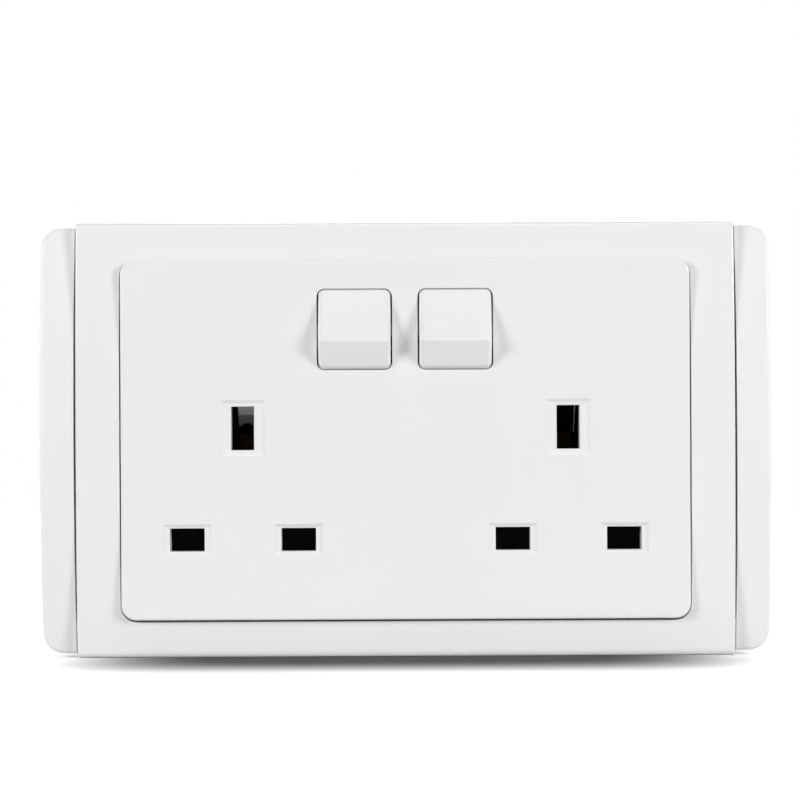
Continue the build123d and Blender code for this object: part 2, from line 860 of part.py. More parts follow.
def earth_fork(x):
    """Two sprung leaves left and right of an earth pin, on the earth strip."""
    fork_plane = Plane.XY.offset(earth_row - earth_leaf_width / 2)
    for side in (-1, 1):
        with BuildSketch(fork_plane) as leaf:
            with BuildLine():
                Polyline(
                    (x + side * leaf_mouth, earth_mouth_depth),
                    (x + side * leaf_throat, earth_throat_depth),
                    (x + side * leaf_base, earth_depth),
                    (x + side * (leaf_base + leaf_thickness), earth_depth),
                    (x + side * (leaf_throat + leaf_thickness), earth_throat_depth),
                    (x + side * (leaf_mouth + leaf_thickness), earth_mouth_depth),
                    close=True,
                )
            make_face()
        extrude(leaf.sketch, amount=earth_leaf_width)
    base_half = leaf_base + leaf_thickness
    half_leaf = earth_leaf_width / 2
    strip(x - base_half, x + base_half, earth_row - half_leaf, earth_row + half_leaf, earth_depth)


def strip(x0, x1, z0, z1, depth):
    """A flat run of brass strip whose front is at a depth behind the wall."""
    block((x0, x1), (-depth - strip_thickness, -depth), (z0, z1))


# Live feed strip: carries both levers on ridges and runs down to the live terminal
half_strip = strip_width / 2
with BuildPart() as live_feed_strip:
    feed_half = rocker_spacing / 2 + lever_width / 2
    leg_x = terminals["live_terminal"]
    feed_low = rocker_row - feed_bar_height / 2
    strip(-feed_half, max(feed_half, leg_x + half_strip), feed_low, feed_low + feed_bar_height, live_depth)
    strip(leg_x - half_strip, leg_x + half_strip, terminal_top, rocker_row, live_depth)
    for x in switches.values():
        with BuildSketch(side_on(x - lever_width / 2, -lever_pivot, rocker_row)):
            Circle(ridge_radius)
            with Locations(((live_depth - lever_pivot) / 2, 0)):
                Rectangle(live_depth - lever_pivot, 2 * ridge_radius)
        extrude(amount=lever_width)
finish(live_feed_strip.part, "live_feed_strip")

# Live contacts: one for each outlet, from the pin fork up and across to the fixed tip
pad_low = fixed_tip_row - pad_height / 2
pad_high = fixed_tip_row + pad_height / 2
for name, fork_x in (("left", left_live_x), ("right", right_live_x)):
    tip_x = switches[name]
    pad_end = tip_x - half_strip if name == "right" else tip_x + half_strip
    run_end = fork_x + half_strip if name == "right" else fork_x - half_strip
    with BuildPart() as live_contact:
        line_fork(fork_x, live_depth)
        strip(fork_x - half_strip, fork_x + half_strip, pin_row, pad_high, live_depth)
        strip(min(pad_end, run_end), max(pad_end, run_end), pad_low, pad_high, live_depth)
    finish(live_contact.part, f"{name}_live_contact")

# Neutral contact: both neutral forks on one bar, with a tail to the neutral terminal
with BuildPart() as neutral_contact:
    bar_top = pin_row + leaf_base + leaf_thickness
    strip(left_neutral_x, right_neutral_x, bar_top - neutral_bar_height, bar_top, neutral_depth)
    tail_x = terminals["neutral_terminal"]
    strip(tail_x - half_strip, tail_x + half_strip, terminal_top, pin_row, neutral_depth)
    for x in (left_neutral_x, right_neutral_x):
        line_fork(x, neutral_depth)
finish(neutral_contact.part, "neutral_contact")

# Earth contact: both earth forks on one bar, with two tails to the earth terminals
with BuildPart() as earth_contact:
    earth_low = earth_row - feed_bar_height / 2
    strip(outlets["left"], outlets["right"], earth_low, earth_low + feed_bar_height, earth_depth)
    for tail in ("left_earth_terminal", "right_earth_terminal"):
        tail_x = terminals[tail]
        strip(tail_x - half_strip, tail_x + half_strip, terminal_top, earth_row, earth_depth)
    for x in outlets.values():
        earth_fork(x)
finish(earth_contact.part, "earth_contact")

# Terminals: brass blocks with a bore for the wire from below and a clamp screw from behind
for name, x in terminals.items():
    with BuildPart() as terminal:
        block(
            (x - terminal_width / 2, x + terminal_width / 2),
            (-floor_front, -terminal_front),
            (terminal_low, terminal_top),
        )
        with BuildSketch(Plane.XY.offset(terminal_low)):
            with Locations((x, wire_axis)):
                Circle(wire_bore / 2)
        extrude(amount=wire_bore_length, mode=Mode.SUBTRACT)
        rod(
            x,
            screw_row,
            terminal_screw_radius + bearing_clearance,
            (-floor_front, -wire_axis),
            Mode.SUBTRACT,
        )
    finish(terminal.part, name)

# Clamp screws, backed out clear of the wire bores as delivered
with BuildPart() as terminal_screws:
    tip = -(wire_axis + wire_bore / 2 + screw_clearance)
    head_front = -(floor_front + screw_clearance)
    head_back = head_front - terminal_head_height
    for x in terminals.values():
        rod(x, screw_row, terminal_screw_radius, (head_front, tip))
        rod(x, screw_row, terminal_head_radius, (head_back, head_front))
    fillet(terminal_screws.faces().group_by(Axis.Y)[-1].edges(), terminal_head_round)
    for x in terminals.values():
        block(
            (x - slot_width / 2, x + slot_width / 2),
            (head_back, head_back + slot_depth),
            (screw_row - terminal_head_radius, screw_row + terminal_head_radius),
            Mode.SUBTRACT,
        )
finish(terminal_screws.part, "terminal_screws")

# Housing screws: through the columns and the deck into the posts of the socket plate
with BuildPart() as housing_screws:
    head_back = -(housing_depth + screw_head_height)
    for x, z in posts:
        rod(x, z, screw_radius, (-housing_depth, deck_front + screw_bite))
        rod(x, z, screw_head_radius, (head_back, -housing_depth))
    fillet(housing_screws.faces().group_by(Axis.Y)[-1].edges(), screw_head_round)
    for x, z in posts:
        block(
            (x - slot_width / 2, x + slot_width / 2),
            (head_back, head_back + slot_depth),
            (z - screw_head_radius, z + screw_head_radius),
            Mode.SUBTRACT,
        )
finish(housing_screws.part, "housing_screws")
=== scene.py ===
# %% [markdown]
# A twin switched wall socket, dressed for a studio picture.
# Its sizes and places come from the packed model, which is loaded here as a fixed frame.
# They could be measured again in Blender, but one frame for all tools leaves nothing to fit.
# This lesson adds the finish of each surface, the moulded marks, the light and the camera.
# X runs to the right, Y runs into the wall and Z runs up, all in metres.

# %% Load the frame
import json
import math

import bmesh
import bpy
import numpy as np
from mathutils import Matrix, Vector


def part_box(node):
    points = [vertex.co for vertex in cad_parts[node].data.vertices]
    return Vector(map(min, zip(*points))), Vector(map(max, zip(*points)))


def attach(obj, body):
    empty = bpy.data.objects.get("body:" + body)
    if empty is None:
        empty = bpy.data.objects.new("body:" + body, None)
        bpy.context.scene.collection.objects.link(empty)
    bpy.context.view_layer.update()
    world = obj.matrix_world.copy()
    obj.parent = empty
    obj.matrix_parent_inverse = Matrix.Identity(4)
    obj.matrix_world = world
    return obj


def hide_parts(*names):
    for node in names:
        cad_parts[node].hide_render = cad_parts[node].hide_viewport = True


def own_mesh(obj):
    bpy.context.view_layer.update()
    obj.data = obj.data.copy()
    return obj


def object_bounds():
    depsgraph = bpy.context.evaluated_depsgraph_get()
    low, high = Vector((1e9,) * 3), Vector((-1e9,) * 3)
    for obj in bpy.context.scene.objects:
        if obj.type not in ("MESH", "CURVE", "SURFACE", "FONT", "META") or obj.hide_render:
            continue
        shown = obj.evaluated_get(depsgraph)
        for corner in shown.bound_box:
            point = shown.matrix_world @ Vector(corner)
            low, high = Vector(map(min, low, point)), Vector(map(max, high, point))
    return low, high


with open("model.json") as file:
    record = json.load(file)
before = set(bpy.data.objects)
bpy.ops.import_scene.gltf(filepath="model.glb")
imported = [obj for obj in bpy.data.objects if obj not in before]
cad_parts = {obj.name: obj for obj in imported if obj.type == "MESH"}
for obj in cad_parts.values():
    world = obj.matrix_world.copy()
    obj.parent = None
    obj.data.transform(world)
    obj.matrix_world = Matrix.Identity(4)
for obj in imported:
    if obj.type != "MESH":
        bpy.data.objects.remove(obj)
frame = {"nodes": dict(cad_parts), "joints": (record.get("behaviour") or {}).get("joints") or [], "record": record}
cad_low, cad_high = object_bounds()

scene = bpy.context.scene
nodes = frame["nodes"]
MM = 0.001
print("box in mm:", [round(v / MM, 2) for v in cad_high - cad_low])

# %% [markdown]
# The camera stands straight in front of the socket with a long lens, as a product camera does.
# It could be aimed by eye, but here the lens follows from a count of pixels per millimetre.
# A small shift slides the picture and keeps the verticals upright, which turning would not.
# The socket leans a fraction of a degree in its picture, so the camera rolls by that much.

# %% Camera
PICTURE = 800.0
PIXELS_PER_MM = 5.0217
FACE_CENTRE = (405.4, 439.1)
FACE_HEIGHT = 9.5 * MM
VIEW_DISTANCE = 0.6
VIEW_ROLL = math.radians(0.28)
SENSOR = 36.0

lens_data = bpy.data.cameras.new("product_camera")
lens_data.sensor_width = SENSOR
lens_data.lens = SENSOR * VIEW_DISTANCE * PIXELS_PER_MM / (PICTURE * MM)
lens_data.shift_x = (PICTURE / 2 - FACE_CENTRE[0]) / PICTURE
lens_data.shift_y = (FACE_CENTRE[1] - PICTURE / 2) / PICTURE
camera = bpy.data.objects.new("product_camera", lens_data)
camera.location = (0.0, -FACE_HEIGHT - VIEW_DISTANCE, 0.0)
camera.rotation_euler = (math.pi / 2, VIEW_ROLL, 0.0)
scene.collection.objects.link(camera)
scene.camera = camera
print("camera: lens", round(lens_data.lens, 1), "mm at", VIEW_DISTANCE, "m")

# %% [markdown]
# Each finish below is a small node tree that ends in one Principled shader.
# The trees could be drawn by hand in the shader editor, but a helper repeats them without slips.
# This half lays out what they share: object coordinates, noise, soft steps and sums.
# Object coordinates are in metres, so a noise scale of 1000 gives grains a millimetre wide.

# %% Finish nodes
class FinishNodes:
    """A material under construction: its nodes, its links and its one shader."""

    def __init__(self, name):
        self.material = bpy.data.materials.new(name)
        self.material.use_nodes = True
        self.tree = self.material.node_tree
        self.tree.nodes.clear()
        self.shader = self.add("ShaderNodeBsdfPrincipled")
        output = self.add("ShaderNodeOutputMaterial")
        self.join(self.shader.outputs["BSDF"], output.inputs["Surface"])
        self.place = self.add("ShaderNodeTexCoord").outputs["Object"]

    def add(self, kind):
        return self.tree.nodes.new(kind)

    def join(self, source, target):
        self.tree.links.new(source, target)

    def axes(self):
        """The place on the piece, split into X, Y and Z."""
        split = self.add("ShaderNodeSeparateXYZ")
        self.join(self.place, split.inputs["Vector"])
        return split.outputs["X"], split.outputs["Y"], split.outputs["Z"]

    def noise(self, scale, detail=2.0, stretch=None):
        """Noise at a number of grains per metre, squeezed along an axis where stretch is given."""
        place = self.place
        if stretch:
            mapping = self.add("ShaderNodeMapping")
            mapping.inputs["Scale"].default_value = stretch
            self.join(place, mapping.inputs["Vector"])
            place = mapping.outputs["Vector"]
        node = self.add("ShaderNodeTexNoise")
        node.inputs["Scale"].default_value = scale
        node.inputs["Detail"].default_value = detail
        self.join(place, node.inputs["Vector"])
        return node.outputs["Fac"]

    def step(self, value, start, end, low=0.0, high=1.0):
        """A soft step from a low level at start to a high level at end."""
        node = self.add("ShaderNodeMapRange")
        node.interpolation_type = "SMOOTHSTEP"
        node.inputs["From Min"].default_value = start
        node.inputs["From Max"].default_value = end
        node.inputs["To Min"].default_value = low
        node.inputs["To Max"].default_value = high
        self.join(value, node.inputs["Value"])
        return node.outputs["Result"]

    def sum(self, kind, first, second):
        """One sum of a value and a second value or plain number."""
        node = self.add("ShaderNodeMath")
        node.operation = kind
        self.join(first, node.inputs[0])
        if isinstance(second, float):
            node.inputs[1].default_value = second
        else:
            self.join(second, node.inputs[1])
        return node.outputs["Value"]


print("finish nodes ready")

# %% [markdown]
# The other half of the helper gives a finish its colour, its gloss and its fine relief.
# Rounding every small edge in the mesh would cost many faces.
# A Bevel node bends the normals near an edge instead, so that it catches a thin line of light.

# %% Finish steps
TINT_SPAN = (0.35, 0.65)
EDGE_SAMPLES = 4


class Finish(FinishNodes):
    """The steps that give a material its colour, its gloss and its relief."""

    def tint(self, fac, dark, light):
        """Base colour that wanders between two close colours."""
        ramp = self.add("ShaderNodeValToRGB")
        for stop, place, colour in zip(ramp.color_ramp.elements, TINT_SPAN, (dark, light)):
            stop.position = place
            stop.color = (*colour, 1.0)
        self.join(fac, ramp.inputs["Fac"])
        self.join(ramp.outputs["Color"], self.shader.inputs["Base Color"])
        return ramp.outputs["Color"]

    def paint_glint(self, colour, mask, pale):
        """Lays a paler colour, a painted glint, over the base colour where a mask is one."""
        mix = self.add("ShaderNodeMix")
        mix.data_type = "RGBA"
        self.join(mask, mix.inputs["Factor"])
        self.join(colour, mix.inputs["A"])
        mix.inputs["B"].default_value = pale
        self.join(mix.outputs["Result"], self.shader.inputs["Base Color"])

    def gloss(self, fac, low, high):
        """Roughness that wanders between two values."""
        span = self.add("ShaderNodeMapRange")
        span.inputs["To Min"].default_value = low
        span.inputs["To Max"].default_value = high
        self.join(fac, span.inputs["Value"])
        self.join(span.outputs["Result"], self.shader.inputs["Roughness"])

    def bump(self, fac, depth, strength, edge):
        """Fine relief of a depth in metres, on edges that look rounded to a radius."""
        soft = self.add("ShaderNodeBevel")
        soft.samples = EDGE_SAMPLES
        soft.inputs["Radius"].default_value = edge
        node = self.add("ShaderNodeBump")
        node.inputs["Strength"].default_value = strength
        node.inputs["Distance"].default_value = depth
        self.join(fac, node.inputs["Height"])
        self.join(soft.outputs["Normal"], node.inputs["Normal"])
        self.join(node.outputs["Normal"], self.shader.inputs["Normal"])


print("finish steps ready:", [step for step in vars(Finish) if not step.startswith("_")])

# %% [markdown]
# The front pieces are moulded in glossy white plastic.
# One flat white would do for a sketch, but a real moulding is never that even.
# So the white and the gloss wander a little, and the skin has a faint orange peel.
# The peel is bump and not geometry, because it is thousandths of a millimetre deep.
# The end trims are given a duller skin, so their outer edges fade softly and don't flash.

# %% White mouldings
CLOSE_WHITES = ((0.836, 0.837, 0.838), (0.846, 0.846, 0.846))
WHITE_CLOUDS = 28.0
GLOSS_CLOUDS = 140.0
FINE_DETAIL = 3.0
PEEL_GRAIN = 2200.0
PEEL_DEPTH = 0.002 * MM
PEEL_STRENGTH = 0.25
WHITE_EDGE = 0.2 * MM
PLASTIC_IOR = 1.5


def white_moulding(name, shiny, dull):
    """White plastic in faint clouds, with a gloss between two roughnesses and orange peel."""
    finish = Finish(name)
    finish.tint(finish.noise(WHITE_CLOUDS), *CLOSE_WHITES)
    finish.gloss(finish.noise(GLOSS_CLOUDS, FINE_DETAIL), shiny, dull)
    finish.bump(finish.noise(PEEL_GRAIN), PEEL_DEPTH, PEEL_STRENGTH, WHITE_EDGE)
    finish.shader.inputs["IOR"].default_value = PLASTIC_IOR
    return finish.material


WHITE = white_moulding("gloss_white_moulding", shiny=0.18, dull=0.25)
SATIN = white_moulding("satin_white_moulding", shiny=0.4, dull=0.48)
print("made", WHITE.name, SATIN.name)

# %% [markdown]
# The parts behind the face are matt plastics.
# Their mould is spark eroded, which leaves a fine even grain that scatters the light.
# The grain could be a picture wrapped round each part, but noise needs no unwrapping.
# The deck and the shutters are black plastic, made darker still than black plastic is, as painted shade, so that
# the slots in the face look empty.
# The plungers are pale natural nylon, which slides well.

# %% Dark mouldings
MATT_CLOUDS = 60.0
MATT_WANDER = 0.06
GRAINS_PER_PATCH = 4
SPARK_GRAIN = 2600.0
NYLON_GRAIN = 1500.0
GRAIN_DEPTH = 0.02 * MM
GRAIN_STRENGTH = 0.5
MATT_EDGE = 0.25 * MM
BLACK_SHEEN = 0.03


def matt_moulding(name, dark, light, rough, grain):
    """Matt plastic with a fine grain, whose gloss wanders in patches a few grains wide."""
    finish = Finish(name)
    finish.tint(finish.noise(MATT_CLOUDS), dark, light)
    patches = finish.noise(grain / GRAINS_PER_PATCH, FINE_DETAIL)
    finish.gloss(patches, rough - MATT_WANDER, rough + MATT_WANDER)
    finish.bump(finish.noise(grain, FINE_DETAIL), GRAIN_DEPTH, GRAIN_STRENGTH, MATT_EDGE)
    return finish.material


HOUSING = matt_moulding(
    "grey_housing_moulding",
    dark=(0.088, 0.089, 0.092),
    light=(0.106, 0.107, 0.11),
    rough=0.52,
    grain=SPARK_GRAIN,
)
# Painted shade, in part: the deck is darker than black plastic is, so that the slots look empty
DECK = matt_moulding(
    "black_deck_moulding",
    dark=(0.004, 0.004, 0.0045),
    light=(0.006, 0.006, 0.0065),
    rough=0.62,
    grain=SPARK_GRAIN,
)
deck_shader = DECK.node_tree.nodes["Principled BSDF"]
deck_shader.inputs["Specular IOR Level"].default_value = BLACK_SHEEN
NYLON = matt_moulding(
    "natural_nylon",
    dark=(0.7, 0.68, 0.6),
    light=(0.76, 0.74, 0.67),
    rough=0.42,
    grain=NYLON_GRAIN,
)
print("made", HOUSING.name, DECK.name, NYLON.name)

# %% [markdown]
# A paler patch is painted on each shutter's ramp, as a glint of light reflected into the slot.
# It could be a picture, but a mask of soft steps in object coordinates needs no picture.
# On the left ramp the painted glint is brighter at the top and lies above a round spot left dark.
# On the right ramp it is a single thin painted line of light.

# %% Shutters with a painted glint
# Painted shade, in part: the shutters are darker than black plastic is
SHUTTER_BLACKS = ((0.0012, 0.0012, 0.0012), (0.002, 0.002, 0.002))
SHUTTER_ROUGH = (0.5, 0.62)
SHUTTER_GRAIN = 1800.0
# The colour, the soft edges and the dark round spot of the painted glint on the ramps
GLINT_PALE = (0.5, 0.5, 0.48, 1.0)
GLINT_LEFT_EDGE = (-33.8 * MM, -33.4 * MM)
GLINT_LOW_EDGE = (2.5 * MM, 2.9 * MM)
GLINT_BRIGHT_EDGE = (4.7 * MM, 5.2 * MM)
GLINT_DIM = 0.45
GLINT_HOLE = (-31.9 * MM, 1.95 * MM)
GLINT_HOLE_RADIUS = (1.3 * MM, 1.6 * MM)
GLINT_LINE_X = 34.05 * MM
GLINT_LINE_EDGE = (0.11 * MM, 0.05 * MM)
GLINT_LINE_LOW_EDGE = (-3.2 * MM, -2.2 * MM)
SQUARE = 2.0
SQUARE_ROOT = 0.5


def shutter_with_painted_glint():
    """Black plastic with a painted glint, paler where x, z and the distance from the dark spot pass their soft
    steps.
    """
    finish = Finish("black_shutter_moulding")
    colour = finish.tint(finish.noise(MATT_CLOUDS), *SHUTTER_BLACKS)
    x, _, z = finish.axes()
    across = finish.sum("POWER", finish.sum("SUBTRACT", x, GLINT_HOLE[0]), SQUARE)
    up = finish.sum("POWER", finish.sum("SUBTRACT", z, GLINT_HOLE[1]), SQUARE)
    away = finish.sum("POWER", finish.sum("ADD", across, up), SQUARE_ROOT)
    left_half = finish.sum("LESS_THAN", x, 0.0)
    glint = finish.sum("MULTIPLY", finish.step(x, *GLINT_LEFT_EDGE), left_half)
    glint = finish.sum("MULTIPLY", glint, finish.step(z, *GLINT_LOW_EDGE))
    glint = finish.sum("MULTIPLY", glint, finish.step(away, *GLINT_HOLE_RADIUS))
    glint_fade = finish.sum("MAXIMUM", finish.step(z, *GLINT_BRIGHT_EDGE), GLINT_DIM)
    glint = finish.sum("MULTIPLY", glint, glint_fade)
    aside = finish.sum("ABSOLUTE", finish.sum("SUBTRACT", x, GLINT_LINE_X), 0.0)
    glint_line = finish.step(aside, *GLINT_LINE_EDGE)
    glint_line = finish.sum("MULTIPLY", glint_line, finish.step(z, *GLINT_LINE_LOW_EDGE))
    # Painted glint: a paler colour where the patch mask or the line mask is one
    finish.paint_glint(colour, finish.sum("MAXIMUM", glint, glint_line), GLINT_PALE)
    patches = finish.noise(SHUTTER_GRAIN / GRAINS_PER_PATCH, FINE_DETAIL)
    finish.gloss(patches, *SHUTTER_ROUGH)
    grain = finish.noise(SHUTTER_GRAIN, FINE_DETAIL)
    finish.bump(grain, GRAIN_DEPTH, GRAIN_STRENGTH, MATT_EDGE)
    finish.shader.inputs["Specular IOR Level"].default_value = BLACK_SHEEN
    return finish.material


SHUTTER = shutter_with_painted_glint()
print("made", SHUTTER.name)

# %% [markdown]
# Brass strip is rolled, so its scratches run along it, and it tarnishes in faint clouds.
# An anisotropic shader could hint at that, but stretched noise shows the marks themselves.
# The earth strip lies deep behind the face, and its brass is made very dark, as painted shade, so that the slot
# looks black.
# The silver tips, the spring wire and the zinc plated screws use the same tree.

# %% Metals
TARNISH_CLOUDS = 90.0
TARNISH_DETAIL = 4.0
ROLLED_GLOSS = 700.0
BRIGHTER = 0.07
DULLER = 0.09
ROLLING_MARKS = 900.0
MARK_DETAIL = 2.0
MARK_DEPTH = 0.004 * MM
MARK_STRENGTH = 0.3
METAL_EDGE = 0.1 * MM
ALONG_Z = (6.0, 6.0, 0.6)
EVEN = (3.0, 3.0, 3.0)


def rolled_metal(name, dark, light, rough, stretch):
    """Metal that tarnishes between two colours, with gloss and fine marks drawn out by stretch."""
    finish = Finish(name)
    finish.tint(finish.noise(TARNISH_CLOUDS, TARNISH_DETAIL), dark, light)
    streaks = finish.noise(ROLLED_GLOSS, FINE_DETAIL, stretch)
    finish.gloss(streaks, rough - BRIGHTER, rough + DULLER)
    marks = finish.noise(ROLLING_MARKS, MARK_DETAIL, stretch)
    finish.bump(marks, MARK_DEPTH, MARK_STRENGTH, METAL_EDGE)
    finish.shader.inputs["Metallic"].default_value = 1.0
    return finish.material


BRASS = rolled_metal(
    "rolled_brass", dark=(0.7, 0.5, 0.2), light=(0.83, 0.64, 0.31), rough=0.3, stretch=ALONG_Z
)
# Painted shade: the deep earth strip's brass is far darker than brass is
SHADE_DARK_BRASS = rolled_metal(
    "shade_dark_brass", dark=(0.07, 0.047, 0.018), light=(0.11, 0.075, 0.03), rough=0.6, stretch=ALONG_Z
)
SILVER = rolled_metal(
    "contact_silver", dark=(0.78, 0.78, 0.76), light=(0.88, 0.87, 0.85), rough=0.22, stretch=EVEN
)
SPRING = rolled_metal(
    "drawn_spring_wire", dark=(0.46, 0.46, 0.47), light=(0.58, 0.58, 0.59), rough=0.3, stretch=EVEN
)
ZINC = rolled_metal(
    "zinc_plated_steel", dark=(0.4, 0.41, 0.43), light=(0.52, 0.53, 0.55), rough=0.36, stretch=EVEN
)
print("made", BRASS.name, SHADE_DARK_BRASS.name, SILVER.name, SPRING.name, ZINC.name)

# %% [markdown]
# Every node of the packed model names the material slot that it takes its finish from.
# Each piece could be dressed by name, but one table from slot to finish serves them all.
# A second, short table names the few pieces whose finish is their own.

# %% Dress the packed pieces
FINISHES = {
    "white_plastic": WHITE,
    "dark_plastic": DECK,
    "housing_plastic": HOUSING,
    "nylon": NYLON,
    "brass": BRASS,
    "silver": SILVER,
    "spring_steel": SPRING,
    "zinc_steel": ZINC,
}
OWN_FINISHES = {
    "left_trim": SATIN,
    "right_trim": SATIN,
    "left_shutter": SHUTTER,
    "right_shutter": SHUTTER,
    "earth_contact": SHADE_DARK_BRASS,
}
slot_of = {part["node"]: part["material_slot"] for part in frame["record"]["subparts"]}
for name, obj in nodes.items():
    obj.data.materials.clear()
    obj.data.materials.append(OWN_FINISHES.get(name, FINISHES[slot_of[name]]))
used = {obj.data.materials[0].name for obj in nodes.values()}
print("dressed", len(nodes), "pieces in", len(used), "finishes")

# %% [markdown]
# New pieces are grids of points worked out with numpy, as whole arrays.
# They could be modelled by hand, but a formula is exact and can be read again later.
# Each point is joined to its neighbours, and a wrapped grid closes on itself.
# The volume tells whether the faces look outwards: where it is negative, they are turned.

# %% Grid helper
def placed(name, mesh, body, material):
    """Hangs a finished mesh on a body of the model, in one finish."""
    mesh.materials.append(material)
    obj = bpy.data.objects.new(name, mesh)
    scene.collection.objects.link(obj)
    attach(obj, body)
    return obj


def signed_volume(points, quads):
    """Sum over all faces, split in triangles, of the tetrahedron's volume from the origin."""
    a, b, c, d = (points[quads[:, k]] for k in range(4))
    first = np.einsum("ij,ij->i", a, np.cross(b, c))
    second = np.einsum("ij,ij->i", a, np.cross(c, d))
    return (first.sum() + second.sum()) / 6


def closed_grids(name, grids, body, material):
    """One piece from several grids, each wrapped in both directions so that it has no edge."""
    count, rows, columns = grids.shape[:3]
    index = np.arange(count * rows * columns).reshape(count, rows, columns)
    index = np.concatenate((index, index[:, :1]), axis=1)
    index = np.concatenate((index, index[:, :, :1]), axis=2)
    corners = (index[:, :-1, :-1], index[:, 1:, :-1], index[:, 1:, 1:], index[:, :-1, 1:])
    quads = np.stack(corners, axis=-1).reshape(-1, 4)
    points = grids.reshape(-1, 3)
    if signed_volume(points, quads) < 0:
        quads = quads[:, ::-1]
    mesh = bpy.data.meshes.new(name)
    mesh.vertices.add(len(points))
    mesh.vertices.foreach_set("co", points.ravel())
    mesh.loops.add(quads.size)
    mesh.loops.foreach_set("vertex_index", quads.ravel())
    mesh.polygons.add(len(quads))
    mesh.polygons.foreach_set("loop_start", np.arange(0, quads.size, 4))
    mesh.polygons.foreach_set("use_smooth", np.ones(len(quads), dtype=bool))
    mesh.update()
    return placed(name, mesh, body, material)


print("grid helper ready")

# %% [markdown]
# Ejector pins push the hot housing out of its mould, and each leaves a faint round ring.
# A ready-made torus has a round tube, but this mark is nearly flat.
# So an oval bead is carried round a circle: one angle for the ring and one for the bead.
# Half of the bead lies inside the wall, so nothing floats and no open edge shows.

# %% Ejector rings
HOUSING_LOW, HOUSING_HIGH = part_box("rear_housing")
BACK = HOUSING_HIGH.y
RING_PLACES = MM * np.array(
    [(-38.0, 20.0), (38.0, 20.0), (-38.0, -8.0), (38.0, -8.0), (-13.0, 6.0), (13.0, 6.0)]
)
RING_RADIUS = 2.4 * MM
RING_BEAD = (0.22 * MM, 0.07 * MM)
RING_STEPS = 48
BEAD_STEPS = 10


def bead_section(size):
    """An oval: half width times the cosine outwards, height times the sine upwards."""
    turn = np.linspace(0.0, 2.0 * np.pi, BEAD_STEPS, endpoint=False)
    return size[0] * np.cos(turn), size[1] * np.sin(turn)


def ejector_rings(places):
    """Radius plus the oval's reach, along the cosine and sine of the ring's own angle."""
    out, up = bead_section(RING_BEAD)
    angle = np.linspace(0.0, 2.0 * np.pi, RING_STEPS, endpoint=False)
    reach = RING_RADIUS + out[None, None, :]
    x = places[:, 0, None, None] + reach * np.cos(angle)[None, :, None]
    z = places[:, 1, None, None] + reach * np.sin(angle)[None, :, None]
    y = np.broadcast_to(BACK + up, x.shape)
    return np.stack((x, y, z), axis=-1)


ring_grids = ejector_rings(RING_PLACES)
rings = closed_grids("ejector_rings", ring_grids, "wall_body", HOUSING)
print("rings:", len(RING_PLACES), "with", len(rings.data.polygons), "faces")

# %% [markdown]
# A low rib runs round the back of the housing and stiffens it.
# A bevelled curve could make it, but the oval of the rings serves again as its profile.
# It is carried along a rectangle with rounded corners.
# Only the corner arcs need points: the straight runs are the long faces between them.

# %% Back rib
RIB_INSET = 1.4 * MM
RIB_CORNER = 1.6 * MM
RIB_BEAD = (0.36 * MM, 0.26 * MM)
ARC_STEPS = 9


def rounded_path(low, high, corner):
    """Points of a rounded rectangle and the directions out of it.
    Each arc is a quarter turn of the corner's radius about its own corner centre."""
    angle = np.linspace(0.0, np.pi / 2, ARC_STEPS)[None, :] + np.arange(4)[:, None] * np.pi / 2
    outward = np.stack((np.cos(angle), np.sin(angle)), axis=-1).reshape(-1, 2)
    middle_x, middle_z = (low[0] + high[0]) / 2, (low[1] + high[1]) / 2
    half_x, half_z = (high[0] - low[0]) / 2 - corner, (high[1] - low[1]) / 2 - corner
    signs = np.repeat(np.array([(1, 1), (-1, 1), (-1, -1), (1, -1)]), ARC_STEPS, axis=0)
    centres = np.array((middle_x, middle_z)) + signs * np.array((half_x, half_z))
    return centres + corner * outward, outward


def back_rib():
    """The oval set across the path: outwards along the path's own normal, upwards along Y."""
    low = (HOUSING_LOW.x + RIB_INSET, HOUSING_LOW.z + RIB_INSET)
    high = (HOUSING_HIGH.x - RIB_INSET, HOUSING_HIGH.z - RIB_INSET)
    path, outward = rounded_path(low, high, RIB_CORNER)
    out, up = bead_section(RIB_BEAD)
    flat = path[:, None, :] + out[None, :, None] * outward[:, None, :]
    y = np.broadcast_to(BACK + up, flat.shape[:2])
    return np.stack((flat[..., 0], y, flat[..., 1]), axis=-1)[None]


rib = closed_grids("back_rib", back_rib(), "wall_body", HOUSING)
print("rib:", len(rib.data.polygons), "faces")

# %% [markdown]
# The terminals are named on the back by raised letters for live, neutral and earth.
# They could be built from bars, but a text curve has good strokes and becomes a mesh.
# One array step then turns it to face the wall, for a fitter who looks from behind.
# A text's faces and sides come apart at their rims, so the doubled points are merged.
# The letters are a second shot in white, which reads well on the dark housing.

# %% Terminal letters
LETTER_SIZE = 3.6 * MM
LETTER_RAISE = 0.25 * MM
LETTER_ROW = -19.6 * MM
WELD = 0.001 * MM
LETTERS = {
    "neutral": ("N", -12.3 * MM),
    "left_earth": ("E", -4.1 * MM),
    "right_earth": ("E", 4.1 * MM),
    "live": ("L", 12.3 * MM),
}


